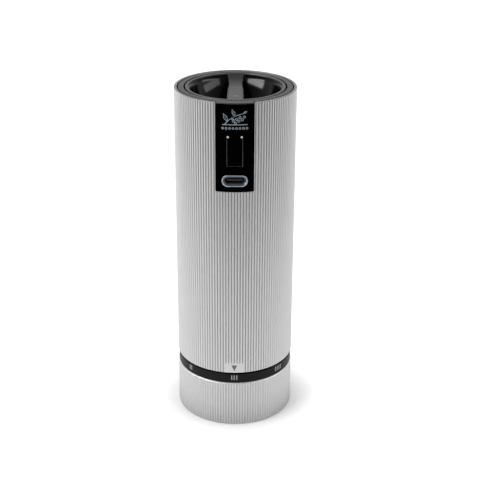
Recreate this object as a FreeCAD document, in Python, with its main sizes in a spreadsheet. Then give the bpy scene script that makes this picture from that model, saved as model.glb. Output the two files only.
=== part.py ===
import FreeCAD, Part
import math
import os
import Sketcher
from FreeCAD import Placement, Rotation, Vector

# A rechargeable pepper mill, in millimetres. Z is up, the front faces -Y, and the
# origin is the centre of the underside. Four units make it up: the body tube with
# its reservoir, the base that turns to set the grind, the cone grinder, and a motor
# block that lifts out of the top after its twist handle has been turned.

document = FreeCAD.newDocument("PepperMill")
sheet = document.addObject("Spreadsheet::Sheet", "Sizes")
sub_parts = []


# --- Sizes -----------------------------------------------------------------------

class Length:
    """A number that also knows the spreadsheet formula it is worked out by."""

    def __init__(self, value, formula=None):
        self.value = float(value)
        self.formula = formula or repr(float(value))

    def _join(self, sign, other, swapped=False):
        other = as_length(other)
        first, second = (other, self) if swapped else (self, other)
        value = {
            "+": lambda a, b: a + b,
            "-": lambda a, b: a - b,
            "*": lambda a, b: a * b,
            "/": lambda a, b: a / b,
        }[sign](first.value, second.value)
        return Length(value, "(%s %s %s)" % (first.formula, sign, second.formula))

    def __add__(self, other):
        return self._join("+", other)

    def __radd__(self, other):
        return self._join("+", other, swapped=True)

    def __sub__(self, other):
        return self._join("-", other)

    def __rsub__(self, other):
        return self._join("-", other, swapped=True)

    def __mul__(self, other):
        return self._join("*", other)

    def __rmul__(self, other):
        return self._join("*", other, swapped=True)

    def __truediv__(self, other):
        return self._join("/", other)

    def __neg__(self):
        return self._join("*", -1)

    def __float__(self):
        return self.value


def as_length(number):
    return number if isinstance(number, Length) else Length(number)


def size(alias, value):
    """Add a driving dimension to the spreadsheet."""
    row = size.rows = getattr(size, "rows", 0) + 1
    sheet.set("A%d" % row, alias)
    sheet.set("B%d" % row, str(value))
    sheet.setAlias("B%d" % row, alias)
    return Length(value, "Sizes." + alias)


body_radius = size("body_radius", 25)
total_height = size("total_height", 145)
tube_wall = size("tube_wall", 1.2)
base_height = size("base_height", 20.8)
band_height = size("band_height", 4.1)
base_gap = size("base_gap", 0.3)
body_gap = size("body_gap", 0.7)
running_gap = size("running_gap", 0.15)
liner_wall = size("liner_wall", 1.2)
neck_bore = size("neck_bore", 20.6)
neck_wall = size("neck_wall", 1.2)
panel_half_width = size("panel_half_width", 7.6)
panel_bottom = size("panel_bottom", 108.5)
panel_depth = size("panel_depth", 1.6)
shaft_radius = size("shaft_radius", 2.5)
block_bottom = size("block_bottom", 61.3)
block_wall = size("block_wall", 1.2)
grinder_bottom = size("grinder_bottom", 8)
grinder_top = size("grinder_top", 22)
gear_module = size("gear_module", 0.5)
sun_teeth = size("sun_teeth", 9)
planet_teeth = size("planet_teeth", 18)
ring_teeth = size("ring_teeth", 45)
cell_radius = size("cell_radius", 9)
cell_length = size("cell_length", 35)
bolt_travel = size("bolt_travel", 1.4)
lock_turn = size("lock_turn", 60)
mark_pitch = size("mark_pitch", 50)
document.recompute()


# --- Ways of making a solid ------------------------------------------------------

def bind(item, **formulas):
    """Set each property of a feature from the spreadsheet."""
    for name, length in formulas.items():
        length = as_length(length)
        setattr(item, name, length.value)
        if "Sizes." in length.formula:
            item.setExpression(name, length.formula)
    return item


def place(item, x=0, y=0, z=0, rotation=None):
    """Give a feature its placement, with the offsets bound to the spreadsheet."""
    offsets = [as_length(value) for value in (x, y, z)]
    item.Placement = Placement(Vector(*[o.value for o in offsets]), rotation or Rotation())
    for axis, offset in zip("xyz", offsets):
        if "Sizes." in offset.formula:
            item.setExpression("Placement.Base." + axis, offset.formula)
    return item


def sub_part(label, item):
    item.Label = label
    sub_parts.append(item)
    return item


def fix_point(sketch, edge, end, along, up):
    """Hold one end of a sketched edge at a distance from the sketch's origin."""
    for kind, axis, length in (("DistanceX", -2, as_length(along)), ("DistanceY", -1, as_length(up))):
        if abs(length.value) < 1e-9:
            sketch.addConstraint(Sketcher.Constraint("PointOnObject", edge, end, axis))
            continue
        index = sketch.addConstraint(Sketcher.Constraint(kind, -1, 1, edge, end, length.value))
        if "Sizes." in length.formula:
            sketch.setExpression("Constraints[%d]" % index, length.formula)


def sketch_outline(body, role, points, offset=0):
    """A closed outline of straight edges on one of the body's own origin planes."""
    plane = [item for item in body.Origin.OriginFeatures if item.Role == role][0]
    sketch = body.newObject("Sketcher::SketchObject", "Outline")
    sketch.AttachmentSupport = (plane, [""])
    sketch.MapMode = "FlatFace"
    offset = as_length(offset)
    sketch.AttachmentOffset = Placement(Vector(0, 0, offset.value), Rotation())
    if "Sizes." in offset.formula:
        sketch.setExpression("AttachmentOffset.Base.z", offset.formula)
    corners = [Vector(float(along), float(up), 0) for along, up in points]
    count = len(corners)
    edges = [Part.LineSegment(corners[i], corners[(i + 1) % count]) for i in range(count)]
    sketch.addGeometry(edges, False)
    for i in range(count):
        sketch.addConstraint(Sketcher.Constraint("Coincident", i, 2, (i + 1) % count, 1))
    for i, (along, up) in enumerate(points):
        fix_point(sketch, i, 1, along, up)
    return sketch


def turned(name, profile):
    """A body turned about Z from its half section, given as (radius, height) points."""
    body = document.addObject("PartDesign::Body", name)
    sketch = sketch_outline(body, "XZ_Plane", profile)
    turn = body.newObject("PartDesign::Revolution", "Turn")
    turn.Profile = sketch
    turn.ReferenceAxis = (sketch, ["V_Axis"])
    turn.Angle = 360
    return body


def ring(name, inner, outer, bottom, top):
    return turned(name, [(inner, bottom), (outer, bottom), (outer, top), (inner, top)])


def prism(name, outline, bottom, top):
    """A body padded up from a flat outline."""
    body = document.addObject("PartDesign::Body", name)
    sketch = sketch_outline(body, "XY_Plane", outline, bottom)
    pad = body.newObject("PartDesign::Pad", "Rise")
    pad.Profile = sketch
    bind(pad, Length=as_length(top) - bottom)
    return body


def cylinder(radius, bottom, top, x=0, y=0, sweep=360, start=0):
    """An upright cylinder, or a wedge of one between two angles."""
    item = document.addObject("Part::Cylinder", "Round")
    bind(item, Radius=radius, Height=as_length(top) - bottom)
    item.Angle = sweep
    return place(item, x, y, bottom, Rotation(Vector(0, 0, 1), start))


def cross_cylinder(radius, direction, start, length, x=0, y=0, z=0):
    """A level cylinder along X or Y, starting at the given point of that axis."""
    item = document.addObject("Part::Cylinder", "Bore")
    bind(item, Radius=radius, Height=length)
    if direction == "X":
        return place(item, start, y, z, Rotation(Vector(0, 1, 0), 90))
    return place(item, x, start, z, Rotation(Vector(1, 0, 0), -90))


def block(x_span, y_span, z_span):
    item = document.addObject("Part::Box", "Block")
    lows = [as_length(span[0]) for span in (x_span, y_span, z_span)]
    spans = [as_length(span[1]) - low for span, low in zip((x_span, y_span, z_span), lows)]
    bind(item, Length=spans[0], Width=spans[1], Height=spans[2])
    return place(item, *lows)


def turned_copy(item, angle):
    """The same solid again, turned about Z."""
    copy = document.addObject("Part::Compound", "Copy")
    copy.Links = [item]
    copy.Placement = Placement(Vector(), Rotation(Vector(0, 0, 1), angle))
    return copy


def fuse(*items):
    if len(items) == 1:
        return items[0]
    joined = document.addObject("Part::MultiFuse", "Joined")
    joined.Shapes = list(items)
    return joined


def cut(base, *tools):
    result = document.addObject("Part::Cut", "Cut")
    result.Base = base
    result.Tool = fuse(*tools)
    return result


def common(*items):
    result = document.addObject("Part::MultiCommon", "Shared")
    result.Shapes = list(items)
    return result


def group(*items):
    """Like pieces that are separate solids in one node."""
    gathered = document.addObject("Part::Compound", "Group")
    gathered.Links = list(items)
    return gathered


def shaped(name, shape):
    item = document.addObject("Part::Feature", name)
    item.Shape = shape
    item.Placement = Placement()
    return item


def stadium(half_length, half_height, start, end, z):
    """A level bar along Y whose section is a slot with round ends."""
    reach = as_length(half_length) - half_height
    length = as_length(end) - start
    middle = block((-reach, reach), (start, end), (z - half_height, z + half_height))
    left = cross_cylinder(half_height, "Y", start, length, x=-reach, z=z)
    right = cross_cylinder(half_height, "Y", start, length, x=reach, z=z)
    return fuse(middle, left, right)


# --- Body tube, liner and reservoir ----------------------------------------------

tube_bore = body_radius - tube_wall
band_top = base_height + base_gap + band_height
tube_bottom = band_top + body_gap
edge_break = Length(0.4)
mark_centre = tube_bottom + 2.3
mark_half_height = Length(1.39)
mark_half_width = Length(1.235)
inlay = Length(0.3)

tube = turned("Tube", [
    (tube_bore, tube_bottom),
    (body_radius - edge_break, tube_bottom),
    (body_radius, tube_bottom + edge_break),
    (body_radius, total_height - 0.15),
    (body_radius - 0.15, total_height),
    (tube_bore, total_height),
])
tube_notch = block(
    (-panel_half_width - running_gap, panel_half_width + running_gap),
    (-body_radius - 1, 0),
    (panel_bottom - 0.2, total_height + 1),
)


def triangle_mark():
    """A downward triangle, laid into the front of the tube."""
    top = float(mark_centre + mark_half_height)
    tip = float(mark_centre - mark_half_height)
    half = float(mark_half_width)
    front = -float(body_radius) - 1
    corners = [Vector(-half, front, top), Vector(half, front, top), Vector(0, front, tip)]
    face = Part.Face(Part.makePolygon(corners + corners[:1]))
    return shaped("Triangle", face.extrude(Vector(0, 4, 0)))


mark_shell = ring("MarkShell", body_radius - inlay, body_radius, tube_bottom, tube_bottom + 6)
index_mark = sub_part("index_mark", common(mark_shell, triangle_mark()))
sub_part("outer_tube", cut(tube, tube_notch, index_mark))

liner_top = total_height - 3.6
liner_bore = tube_bore - liner_wall
web_bottom = tube_bottom + 0.5
web_top = web_bottom + 2
neck_bottom = base_height + 1
neck_radius = neck_bore + neck_wall
groove_bottom = neck_bottom + 0.4
groove_radius = neck_radius - 0.6
clip_radius = neck_radius + 0.8
bolt_bottom = Length(128)
bolt_top = Length(130.2)
bolt_half_width = Length(3.0)

liner = turned("Liner", [
    (neck_bore, neck_bottom),
    (neck_radius, neck_bottom),
    (neck_radius, groove_bottom),
    (groove_radius, groove_bottom),
    (groove_radius, groove_bottom + 1),
    (neck_radius, groove_bottom + 1),
    (neck_radius, web_bottom),
    (tube_bore, web_bottom),
    (tube_bore, liner_top),
    (liner_bore, liner_top),
    (liner_bore, web_top),
    (neck_bore, web_top),
])
liner_notch = block(
    (-panel_half_width - 0.3, panel_half_width + 0.3),
    (-body_radius, 0),
    (panel_bottom - 0.3, total_height),
)
lock_windows = block(
    (-body_radius, body_radius),
    (-bolt_half_width - 0.3, bolt_half_width + 0.3),
    (bolt_bottom - 0.2, bolt_top + 0.2),
)
sub_part("inner_body", cut(liner, liner_notch, lock_windows))

clip_bottom = groove_bottom + 0.1
clip = ring("Clip", groove_radius, clip_radius, clip_bottom, clip_bottom + 0.8)
clip_mouth = block((-6, 6), (0, body_radius), (clip_bottom - 1, clip_bottom + 2))
sub_part("retaining_clip", cut(clip, clip_mouth))

# The bridge holds the shaft's upper bearing and guides the stator's three fingers.
bridge_top = web_top + 4.6
bridge_ring = Length(16.5)
hub_radius = shaft_radius * 2
finger_inner = Length(18.2)
finger_outer = Length(19.6)
finger_sweep = 20
slot_sweep = 23
arms = [
    turned_copy(block((hub_radius - 1, bridge_ring + 1), (-1.5, 1.5), (web_top, bridge_top)), angle)
    for angle in (60, 180, 300)
]
bridge = fuse(
    ring("BridgeRing", bridge_ring, liner_bore, web_top, bridge_top),
    ring("BridgeHub", shaft_radius + 0.05, hub_radius, web_top, bridge_top),
    *arms,
)
finger_slots = [
    cut(
        cylinder(finger_outer + 0.2, web_top - 1, bridge_top + 1, sweep=slot_sweep, start=angle - slot_sweep / 2),
        cylinder(finger_inner - 0.2, web_top - 2, bridge_top + 2),
    )
    for angle in (0, 120, 240)
]
sub_part("bearing_bridge", cut(bridge, *finger_slots))

funnel_top = bridge_top + 11
sub_part("hopper_funnel", turned("Funnel", [
    (bridge_ring + 0.5, bridge_top),
    (bridge_ring + 1.8, bridge_top),
    (liner_bore, funnel_top - 0.8),
    (liner_bore, funnel_top),
    (liner_bore - 0.4, funnel_top),
]))


# --- Base ring that sets the grind -----------------------------------------------

core_radius = body_radius - 1.1
band_outer = body_radius - 0.3
band_inner = body_radius - 1.8
band_bottom = base_height + base_gap
foot_top = Length(1)
carrier_radius = Length(19.7)
core_bore = carrier_radius + 0.2
clip_space = clip_radius + 0.2
space_bottom = base_height - 0.3
ledge_bottom = clip_bottom + 1

sub_part("base_collar", turned("Collar", [
    (core_radius, 0.3),
    (body_radius - edge_break, 0.3),
    (body_radius, 0.3 + edge_break),
    (body_radius, base_height - edge_break),
    (body_radius - edge_break, base_height),
    (core_radius, base_height),
]))
sub_part("base_core", turned("Core", [
    (core_bore - 2.1, foot_top),
    (core_radius, foot_top),
    (core_radius, base_height),
    (band_inner, base_height),
    (band_inner, band_top),
    (neck_radius + running_gap, band_top),
    (neck_radius + running_gap, ledge_bottom),
    (clip_space, ledge_bottom),
    (clip_space, space_bottom),
    (core_bore, space_bottom),
    (core_bore, grinder_bottom - 1.5),
    (core_bore - 2.1, grinder_bottom - 3.5),
]))
sub_part("foot_ring", ring("Foot", body_radius - 3.5, core_radius, 0, foot_top))


def setting_bars():
    """One to six bars for the six settings, evenly turned, the third one at the front."""
    bars = []
    bar_pitch = math.degrees(1.1 / float(band_outer))
    for setting in range(1, 7):
        middle = float(mark_pitch) * (setting - 3) - 90
        for bar in range(setting):
            angle = middle + (bar - (setting - 1) / 2) * bar_pitch
            strip = block((0, body_radius), (-0.25, 0.25), (band_bottom + 1.3, band_bottom + 3.5))
            bars.append(turned_copy(strip, angle))
    return fuse(*bars)


bar_shell = ring("BarShell", band_outer - inlay, band_outer, band_bottom, band_top)
setting_marks = sub_part("setting_marks", common(bar_shell, setting_bars()))
band = ring("Band", band_inner, band_outer, band_bottom, band_top)
sub_part("setting_band", cut(band, setting_marks))


# --- Grinder ---------------------------------------------------------------------

def toothed_wire(radius, depth, teeth, height, twist=0):
    """A closed zigzag of sloped teeth around a circle."""
    points = []
    for tooth in range(teeth):
        for share, reach in ((0, radius), (0.75, radius - depth), (0.9, radius - depth)):
            angle = math.radians((tooth + share) * 360 / teeth + twist)
            points.append(Vector(reach * math.cos(angle), reach * math.sin(angle), height))
    return Part.makePolygon(points + points[:1])


def toothed_cone(low, high, depth, teeth, twist):
    """A ruled cone between two toothed outlines, each given as (radius, height)."""
    outlines = [
        toothed_wire(low[0], depth[0], teeth, low[1]),
        toothed_wire(high[0], depth[1], teeth, high[1], twist),
    ]
    return Part.makeLoft(outlines, True, True)


stator_radius = Length(17.5)
finger_top = bridge_top - 1
carrier_fingers = [
    cut(
        cylinder(finger_outer, grinder_top - 1, finger_top, sweep=finger_sweep, start=angle - finger_sweep / 2),
        cylinder(finger_inner, grinder_top - 2, finger_top + 1),
    )
    for angle in (0, 120, 240)
]
carrier_ring = ring("CarrierRing", stator_radius, carrier_radius, grinder_bottom - 0.5, grinder_top + 0.5)
sub_part("stator_carrier", fuse(carrier_ring, *carrier_fingers))

stator_cavity = shaped("StatorCavity", toothed_cone(
    (16.0, float(grinder_bottom) - 0.01),
    (11.0, float(grinder_top) + 0.01),
    (0.9, 1.2),
    26,
    0,
))
stator_blank = cylinder(stator_radius, grinder_bottom, grinder_top)
sub_part("grinder_stator", cut(stator_blank, stator_cavity))

rotor_cone = shaped("RotorCone", toothed_cone(
    (14.6, float(grinder_bottom) + 0.2),
    (8.2, float(grinder_top) - 1),
    (0.9, 2.2),
    14,
    -24,
))
rotor_hub = cylinder(4, grinder_top - 2, grinder_top + 2)
rotor_bore = cylinder(shaft_radius, 0, grinder_top + 5)
sub_part("grinder_rotor", cut(fuse(rotor_cone, rotor_hub), rotor_bore))


def spring_coil(mean_radius, wire_radius, bottom, top, turns):
    """A compression spring, ruled between eight-sided sections of its wire."""
    steps = int(turns * 18)
    climb = top - bottom - 2 * wire_radius
    sections = []
    for step in range(steps + 1):
        turn = 2 * math.pi * turns * step / steps
        height = bottom + wire_radius + climb * step / steps
        points = []
        for corner in range(8):
            around = math.pi * corner / 4
            reach = mean_radius + wire_radius * math.cos(around)
            rise = height + wire_radius * math.sin(around)
            points.append(Vector(reach * math.cos(turn), reach * math.sin(turn), rise))
        sections.append(Part.makePolygon(points + points[:1]))
    return shaped("Spring", Part.makeLoft(sections, True, True))


sub_part("stator_spring", spring_coil(
    17.1, 0.35, float(grinder_top) + 0.05, float(web_top) - 0.05, 3.5,
))

square_bottom = block_bottom - 3.3
square_top = square_bottom + 6.5
sub_part("drive_shaft", fuse(
    cylinder(shaft_radius, 4.6, square_bottom),
    block((-1.75, 1.75), (-1.75, 1.75), (square_bottom, square_top)),
))
hexagon = [(3.6 * math.cos(math.radians(60 * i)), 3.6 * math.sin(math.radians(60 * i))) for i in range(6)]
nut_blank = prism("NutBlank", hexagon, grinder_bottom - 2.7, grinder_bottom - 0.3)
washer = cylinder(5, grinder_bottom - 0.3, grinder_bottom + 0.2)
nut_bore = cylinder(shaft_radius, 0, grinder_top)
sub_part("rotor_nut", cut(fuse(nut_blank, washer), nut_bore))

circlip = ring("Circlip", shaft_radius, 4.2, bridge_top + 0.15, bridge_top + 0.9)
circlip_mouth = block((-1.4, 1.4), (0, 6), (bridge_top - 1, bridge_top + 2))
sub_part("shaft_circlip", cut(circlip, circlip_mouth))


# --- Motor block: shell, seals, top ring -----------------------------------------

block_radius = liner_bore - 0.3
block_bore = block_radius - block_wall
floor_top = block_bottom + 1.5
shell_top = liner_top + 0.2
seal_bottom = block_bottom + 4
panel_inner = body_radius - panel_depth
window = ((-5.7, 5.7), (-body_radius, 0), (panel_bottom + 1.5, panel_bottom + 24))

shell = turned("Shell", [
    (5.6, block_bottom),
    (block_radius - 0.8, block_bottom),
    (block_radius, block_bottom + 0.8),
    (block_radius, seal_bottom),
    (block_radius - 0.7, seal_bottom),
    (block_radius - 0.7, seal_bottom + 1.6),
    (block_radius, seal_bottom + 1.6),
    (block_radius, shell_top),
    (block_bore, shell_top),
    (block_bore, floor_top),
    (5.6, floor_top),
])
pad_shell = ring("PadShell", block_bore, panel_inner - 0.1, panel_bottom + 0.1, shell_top)
pad_front = block((-panel_half_width + 0.2, panel_half_width - 0.2), (-body_radius, 0), (panel_bottom, total_height))
bolt_windows = block(
    (-body_radius, body_radius),
    (-bolt_half_width - 0.2, bolt_half_width + 0.2),
    (bolt_bottom - 0.1, bolt_top + 0.15),
)
sub_part("block_shell", cut(fuse(shell, common(pad_shell, pad_front)), block(*window), bolt_windows))
sub_part("block_seal", turned("BlockSeal", [
    (block_radius - 0.7, seal_bottom + 0.1),
    (block_radius, seal_bottom + 0.1),
    (block_radius + 0.2, seal_bottom + 0.5),
    (block_radius + 0.2, seal_bottom + 1.1),
    (block_radius, seal_bottom + 1.5),
    (block_radius - 0.7, seal_bottom + 1.5),
]))
sub_part("shaft_seal", turned("ShaftSeal", [
    (5.1, block_bottom + 0.2),
    (5.6, block_bottom + 0.2),
    (5.6, floor_top),
    (7, floor_top),
    (7, floor_top + 0.9),
    (5.1, floor_top + 0.9),
]))

ring_outer = tube_bore - 0.1
ring_inner = Length(20.9)
trim_outer = Length(20.4)
top_blank = turned("TopRing", [
    (trim_outer - 0.5, shell_top - 3.4),
    (block_bore, shell_top - 3.4),
    (block_bore, shell_top),
    (ring_outer, shell_top),
    (ring_outer, total_height - 0.15),
    (ring_outer - 0.15, total_height),
    (ring_inner + 0.15, total_height),
    (ring_inner, total_height - 0.15),
    (ring_inner, shell_top),
    (trim_outer - 0.5, shell_top),
])
tab_half_sweep = 17.8
tab = cut(
    cylinder(body_radius, total_height - 0.8, total_height, sweep=2 * tab_half_sweep, start=-90 - tab_half_sweep),
    cylinder(ring_outer - 0.3, 0, total_height + 1),
)
top_ring = sub_part("top_ring", fuse(top_blank, tab))


# --- Front panel with its button and charging socket -----------------------------

panel_top = total_height - 0.8
port_height = Length(113.07)
port_half_width = Length(4.33)
port_half_height = Length(1.535)
trim_half_width = Length(5.4)
trim_half_height = Length(2.5)
lens_height = Length(131.3)
lens_spread = Length(2.74)
lens_radius = Length(0.5)
tongue_half_width = Length(2.95)
tongue_bottom = Length(119.4)
tongue_top = Length(130.6)
slit = Length(0.3)

panel_ring = ring("PanelRing", panel_inner, body_radius, panel_bottom, panel_top)
panel_front = block((-panel_half_width, panel_half_width), (-body_radius - 1, 0), (panel_bottom, panel_top))
port_hole = stadium(trim_half_width, trim_half_height, -body_radius - 1, -15, port_height)
tongue_hole = block(
    (-tongue_half_width - slit, tongue_half_width + slit),
    (-body_radius - 1, -15),
    (tongue_bottom - slit, tongue_top + 0.1),
)
lens_holes = [
    cross_cylinder(lens_radius, "Y", -body_radius - 1, 10, x=side * lens_spread, z=lens_height)
    for side in (-1, 1)
]
sub_part("front_panel", cut(
    common(panel_ring, panel_front), top_ring, port_hole, tongue_hole, *lens_holes,
))

lens_shell = ring("LensShell", panel_inner, body_radius, lens_height - 2, lens_height + 2)
lens_rods = [
    cross_cylinder(lens_radius, "Y", -body_radius - 1, 10, x=side * lens_spread, z=lens_height)
    for side in (-1, 1)
]
sub_part("indicator_lenses", common(lens_shell, fuse(*lens_rods)))

trim_shell = ring("TrimShell", panel_inner, body_radius, port_height - 4, port_height + 4)
trim_bar = stadium(trim_half_width, trim_half_height, -body_radius - 1, -15, port_height)
trim_bore = stadium(port_half_width, port_half_height, -body_radius - 2, -14, port_height)
sub_part("usb_trim_ring", cut(common(trim_shell, trim_bar), trim_bore))

board_front = Length(-18.2)
receptacle = stadium(port_half_width, port_half_height, -body_radius + 0.7, board_front, port_height)
receptacle_bore = stadium(
    port_half_width - 0.25, port_half_height - 0.25, -body_radius - 1, board_front - 1, port_height,
)
sub_part("usb_shell", cut(receptacle, receptacle_bore))
sub_part("usb_tongue", block(
    (-3.3, 3.3),
    (-body_radius + 1.6, board_front - 1),
    (port_height - 0.35, port_height + 0.35),
))

press_height = Length(121)
hinge_radius = (body_radius - panel_inner) / 2
hinge_height = tongue_top - hinge_radius
tongue_ring = ring("TongueRing", panel_inner, body_radius, tongue_bottom, tongue_top)
tongue_front = block(
    (-tongue_half_width, tongue_half_width), (-body_radius - 1, 0), (tongue_bottom, hinge_height),
)
hinge_roll = cross_cylinder(
    hinge_radius, "X", -tongue_half_width, tongue_half_width * 2, y=-panel_inner - hinge_radius, z=hinge_height,
)
stem = cross_cylinder(1.2, "Y", -panel_inner - 0.2, 3.6, z=press_height)
sub_part("button_tongue", fuse(common(tongue_ring, fuse(tongue_front, hinge_roll)), stem))

switch_face = board_front - 2.8
switch_blank = block((-3, 3), (switch_face, board_front), (press_height - 3, press_height + 3))
switch_well = cross_cylinder(1.7, "Y", switch_face - 1, 2.7, z=press_height)
sub_part("switch_body", cut(switch_blank, switch_well))


# --- Board, battery and locking deck ---------------------------------------------

deck_bottom = Length(126.3)
deck_top = Length(127.9)
cell_height = Length(115)
cell_y = Length(1.5)
board_back = board_front + 1.2
cradle_bottom = Length(105)



def board_space():
    """The room that the board and its switch need in front of each deck."""
    return block((-body_radius, body_radius), (-body_radius, board_back + 0.6), (cradle_bottom - 1, deck_top + 1))


sub_part("control_board", block((-9, 9), (board_front, board_back), (cradle_bottom + 2, deck_top + 3.9)))
sub_part("battery_cell", cross_cylinder(cell_radius, "X", -cell_length / 2, cell_length, y=cell_y, z=cell_height))
sub_part("battery_contacts", group(*[
    block(
        (side * (cell_length / 2 + 0.25) - 0.15, side * (cell_length / 2 + 0.25) + 0.15),
        (cell_y - 4, cell_y + 4),
        (cradle_bottom + 4, cell_height + 5),
    )
    for side in (-1, 1)
]))
cell_seat = cross_cylinder(cell_radius + 0.1, "X", -body_radius, body_radius * 2, y=cell_y, z=cell_height)
sub_part("battery_cradle", cut(
    cylinder(block_bore - 0.2, cradle_bottom, cradle_bottom + 4), cell_seat, board_space(),
))

screw_radius = Length(1.25)
handle_bore = Length(1.7)
deck_screw_places = [(13.5 * math.cos(math.radians(a)), 13.5 * math.sin(math.radians(a))) for a in (50, 130, 310, 230)]
deck_blank = cylinder(block_bore - 0.1, deck_bottom, deck_top)
deck_holes = [cylinder(screw_radius, deck_bottom - 1, deck_top + 1, x, y) for x, y in deck_screw_places]
sub_part("latch_deck", cut(
    deck_blank,
    board_space(),
    cylinder(handle_bore, deck_bottom - 1, deck_top + 1),
    *deck_holes,
))


def pan_screw(x, y, head_top, length, head_radius, shank_radius, head_down=False):
    """A pan-head screw whose head rests at the given height."""
    rise = -1 if head_down else 1
    head = sorted([float(head_top), float(head_top) + 1.4 * rise])
    shank = sorted([float(head_top), float(head_top) - float(length) * rise])
    return fuse(
        cylinder(head_radius, head[0], head[1], x, y),
        cylinder(shank_radius, shank[0], shank[1], x, y),
    )


sub_part("deck_screws", group(*[
    pan_screw(x, y, deck_bottom, 1.5, 2.2, screw_radius, head_down=True) for x, y in deck_screw_places
]))


# --- Twist handle and the two bolts it drives ------------------------------------

bowl_bottom = Length(132.3)
bowl_floor = bowl_bottom + 1.2
bowl_radius = Length(18.8)
well_radius = Length(17.4)
trim_bottom = total_height - 3
bar_top = trim_bottom + 0.3
bar_half_width = Length(3.6)
strip_half_width = Length(2.75)

bowl = turned("Bowl", [
    (0, bowl_bottom),
    (bowl_radius, bowl_bottom),
    (bowl_radius, trim_bottom),
    (well_radius, trim_bottom),
    (well_radius - 0.8, bowl_floor + 6.2),
    (well_radius - 2, bowl_floor + 3.8),
    (well_radius - 3.8, bowl_floor + 2),
    (well_radius - 6.3, bowl_floor + 0.7),
    (well_radius - 9.9, bowl_floor),
    (0, bowl_floor),
])
bar_core = block((-bar_half_width, bar_half_width), (-well_radius, well_radius), (bowl_floor - 0.2, bar_top))
sub_part("grip_bowl", cut(
    fuse(bowl, bar_core),
    cylinder(1.2, bowl_bottom - 1, bowl_bottom + 4),
    cut(cylinder(well_radius + 2, trim_bottom, total_height), cylinder(well_radius - 0.9, 0, total_height + 1)),
))

trim = turned("Trim", [
    (well_radius + 0.2, trim_bottom),
    (trim_outer, trim_bottom),
    (trim_outer, total_height - 0.2),
    (trim_outer - 0.2, total_height),
    (trim_outer - 0.9, total_height),
    (well_radius + 0.2, total_height - 1.2),
])
strip = block((-strip_half_width, strip_half_width), (-well_radius - 0.6, well_radius + 0.6), (bar_top, bar_top + 0.6))
sub_part("grip_trim", fuse(trim, strip))

cam_bottom = bolt_top + 0.2
cam_top = bowl_bottom
pin_radius = Length(1.2)
pin_reach = Length(12.1)


def cam_slot(side):
    """The spiral slot that draws a bolt's pin outwards as the handle turns to its lock."""
    half = float(pin_radius) + 0.15
    overrun = 7
    steps = 22
    outer_edge = []
    inner_edge = []
    for step in range(steps + 1):
        turn = -overrun + (float(lock_turn) + 2 * overrun) * step / steps
        share = min(max(turn / float(lock_turn), 0), 1)
        reach = float(pin_reach) + float(bolt_travel) * share
        angle = math.radians(turn + (0 if side > 0 else 180))
        heading = Vector(math.cos(angle), math.sin(angle), 0)
        outer_edge.append(heading * (reach + half))
        inner_edge.append(heading * (reach - half))
    corners = outer_edge + inner_edge[::-1]
    face = Part.Face(Part.makePolygon(corners + corners[:1]))
    face.translate(Vector(0, 0, float(cam_bottom) - 1))
    return shaped("CamSlot", face.extrude(Vector(0, 0, float(cam_top - cam_bottom) + 2)))


sub_part("cam_disc", cut(
    cylinder(15.6, cam_bottom, cam_top),
    cam_slot(1),
    cam_slot(-1),
    cylinder(1.2, cam_bottom - 1, cam_top + 1),
))
sub_part("handle_screw", fuse(
    cylinder(3.5, deck_bottom - 1.7, deck_bottom - 0.1),
    cylinder(1.6, deck_bottom - 0.1, cam_bottom),
    cylinder(1.2, cam_bottom - 0.1, bowl_bottom + 4),
))

tip_reach = Length(22)
for side, name in ((-1, "lock_bolt_left"), (1, "lock_bolt_right")):
    ends = sorted((side * pin_reach - side * 3, side * tip_reach), key=float)
    slide = block(ends, (-bolt_half_width, bolt_half_width), (bolt_bottom, bolt_top))
    rounded = common(slide, cylinder(tip_reach, bolt_bottom - 1, bolt_top + 1))
    pin = cylinder(pin_radius, bolt_bottom, cam_top - 0.2, x=side * pin_reach)
    sub_part(name, fuse(rounded, pin))


# --- Motor -----------------------------------------------------------------------

motor_bottom = Length(79.5)
motor_top = cradle_bottom
motor_radius = Length(12)
spindle_radius = Length(1)

sub_part("motor_can", turned("MotorCan", [
    (2.2, motor_bottom),
    (motor_radius, motor_bottom),
    (motor_radius, motor_top - 1.8),
    (motor_radius - 0.9, motor_top - 1.8),
    (motor_radius - 0.9, motor_bottom + 1),
    (2.2, motor_bottom + 1),
]))
sub_part("motor_end_cap", turned("MotorEndCap", [
    (0, motor_top - 1),
    (3, motor_top - 1),
    (3, motor_top - 1.8),
    (motor_radius, motor_top - 1.8),
    (motor_radius, motor_top),
    (0, motor_top),
]))
magnet_shell = [
    cut(
        cylinder(motor_radius - 0.9, motor_bottom + 3, motor_top - 4, sweep=140, start=start),
        cylinder(motor_radius - 2.6, motor_bottom, motor_top),
    )
    for start in (20, 200)
]
sub_part("motor_magnets", group(*magnet_shell))

armature_radius = motor_radius - 3
winding_gap = block((armature_radius - 5.5, armature_radius + 1), (-0.8, 0.8), (motor_bottom + 3, motor_top - 3))
armature = cut(
    cylinder(armature_radius, motor_bottom + 4, motor_top - 5),
    *[turned_copy(winding_gap, angle) for angle in (60, 180, 300)],
    cylinder(spindle_radius, motor_bottom, motor_top),
)
sub_part("armature", fuse(armature, ring("Commutator", spindle_radius, 2.4, motor_top - 5, motor_top - 2.2)))


# --- Two-stage planetary gearbox -------------------------------------------------

pressure_angle = math.radians(20)
backlash = 0.12


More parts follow.
